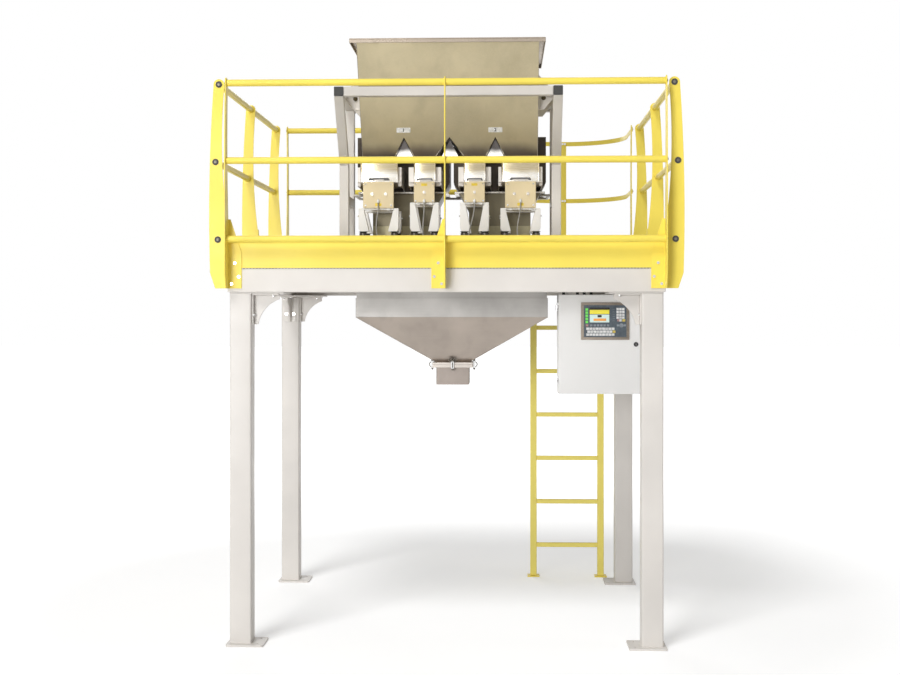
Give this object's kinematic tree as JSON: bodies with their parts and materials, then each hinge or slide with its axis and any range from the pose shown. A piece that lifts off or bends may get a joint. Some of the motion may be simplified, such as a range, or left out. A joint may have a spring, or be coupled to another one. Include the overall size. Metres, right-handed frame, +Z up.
{
  "type": "bag filling machine on a raised platform",
  "caption": "Raised platform with guard rail and caged ladder that carries a feed hopper, vibrating feeders and weigh bins over a collector with a bag spout.",
  "frame": {"origin": "middle of the part's box, on the floor under the foot plates", "axes": "+Z up, +X to the right seen from the front, front towards -Y"},
  "size_m": [2.6258, 2.9428, 3.42],
  "materials": {
    "cream_paint": "smooth semi-gloss powder coat",
    "yellow_paint": "glossy safety yellow",
    "deck_steel": "tread plate, painted",
    "stainless": "brushed stainless sheet",
    "dark_stainless": "brushed stainless sheet, darker",
    "drive_paint": "beige plate, satin",
    "white_paint": "white, satin",
    "cabinet_paint": "light grey textured powder coat",
    "panel_metal": "brushed bezel",
    "black_plastic": "moulded",
    "rubber": "matt",
    "cable_sheath": "grey PVC sheath",
    "zinc": "bright zinc"
  },
  "bodies": {
    "machine": {"leg_front_left": "cream_paint", "leg_front_right": "cream_paint", "leg_rear_left": "cream_paint", "leg_rear_right": "cream_paint", "foot_plates": "cream_paint", "head_plates": "cream_paint", "gussets": "cream_paint", "beam_front": "cream_paint", "beam_rear": "cream_paint", "beams_sides": "cream_paint", "deck_beams": "cream_paint", "deck_panels": "deck_steel", "toe_boards": "yellow_paint", "guard_posts_front": "yellow_paint", "guard_posts_sides": "yellow_paint", "guard_posts_rear": "yellow_paint", "rails_front": "yellow_paint", "rails_sides": "yellow_paint", "rails_rear": "yellow_paint", "ladder_stringers": "yellow_paint", "ladder_rungs": "yellow_paint", "ladder_fixings": "yellow_paint", "ladder_cage": "yellow_paint", "hopper_frame_beams": "cream_paint", "hopper_frame_legs": "cream_paint", "end_plugs": "black_plastic", "hopper_brackets": "cream_paint", "feed_hopper": "stainless", "hopper_dividers": "stainless", "hopper_rim": "stainless", "hopper_outlets": "stainless", "feeder_inlets": "stainless", "feeder_trays": "stainless", "feeder_drives": "drive_paint", "feeder_yokes": "white_paint", "feeder_feet": "rubber", "feeder_base": "cream_paint", "weigh_bin_right": "dark_stainless", "weigh_bin_left": "dark_stainless", "weigh_bin_flanges": "stainless", "weigh_bin_supports": "cream_paint", "collector_collar": "stainless", "collector_skirt": "stainless", "collector_cone": "stainless", "spout_flanges": "stainless", "discharge_spout": "stainless", "spout_clamps": "zinc", "feeder_cable_coarse_left": "cable_sheath", "feeder_cable_fine_left": "cable_sheath", "feeder_cable_fine_right": "cable_sheath", "feeder_cable_coarse_right": "cable_sheath", "cable_glands": "black_plastic", "cable_duct": "cabinet_paint", "cabinet_body": "cabinet_paint", "cabinet_hangers": "cream_paint", "cabinet_hinge_sleeves": "zinc"},
    "door": {"cabinet_door": "cabinet_paint", "operator_panel": "panel_metal", "door_lock": "black_plastic", "cabinet_hinge_pins": "zinc"}
  },
  "joints": [
    {"name": "cabinet_door_hinge", "type": "hinge", "parent": "machine", "child": "door", "pos_m": [0.644, -0.60846, 1.657], "axis": [0, 0, -1], "range_deg": [0, 120]}
  ]
}
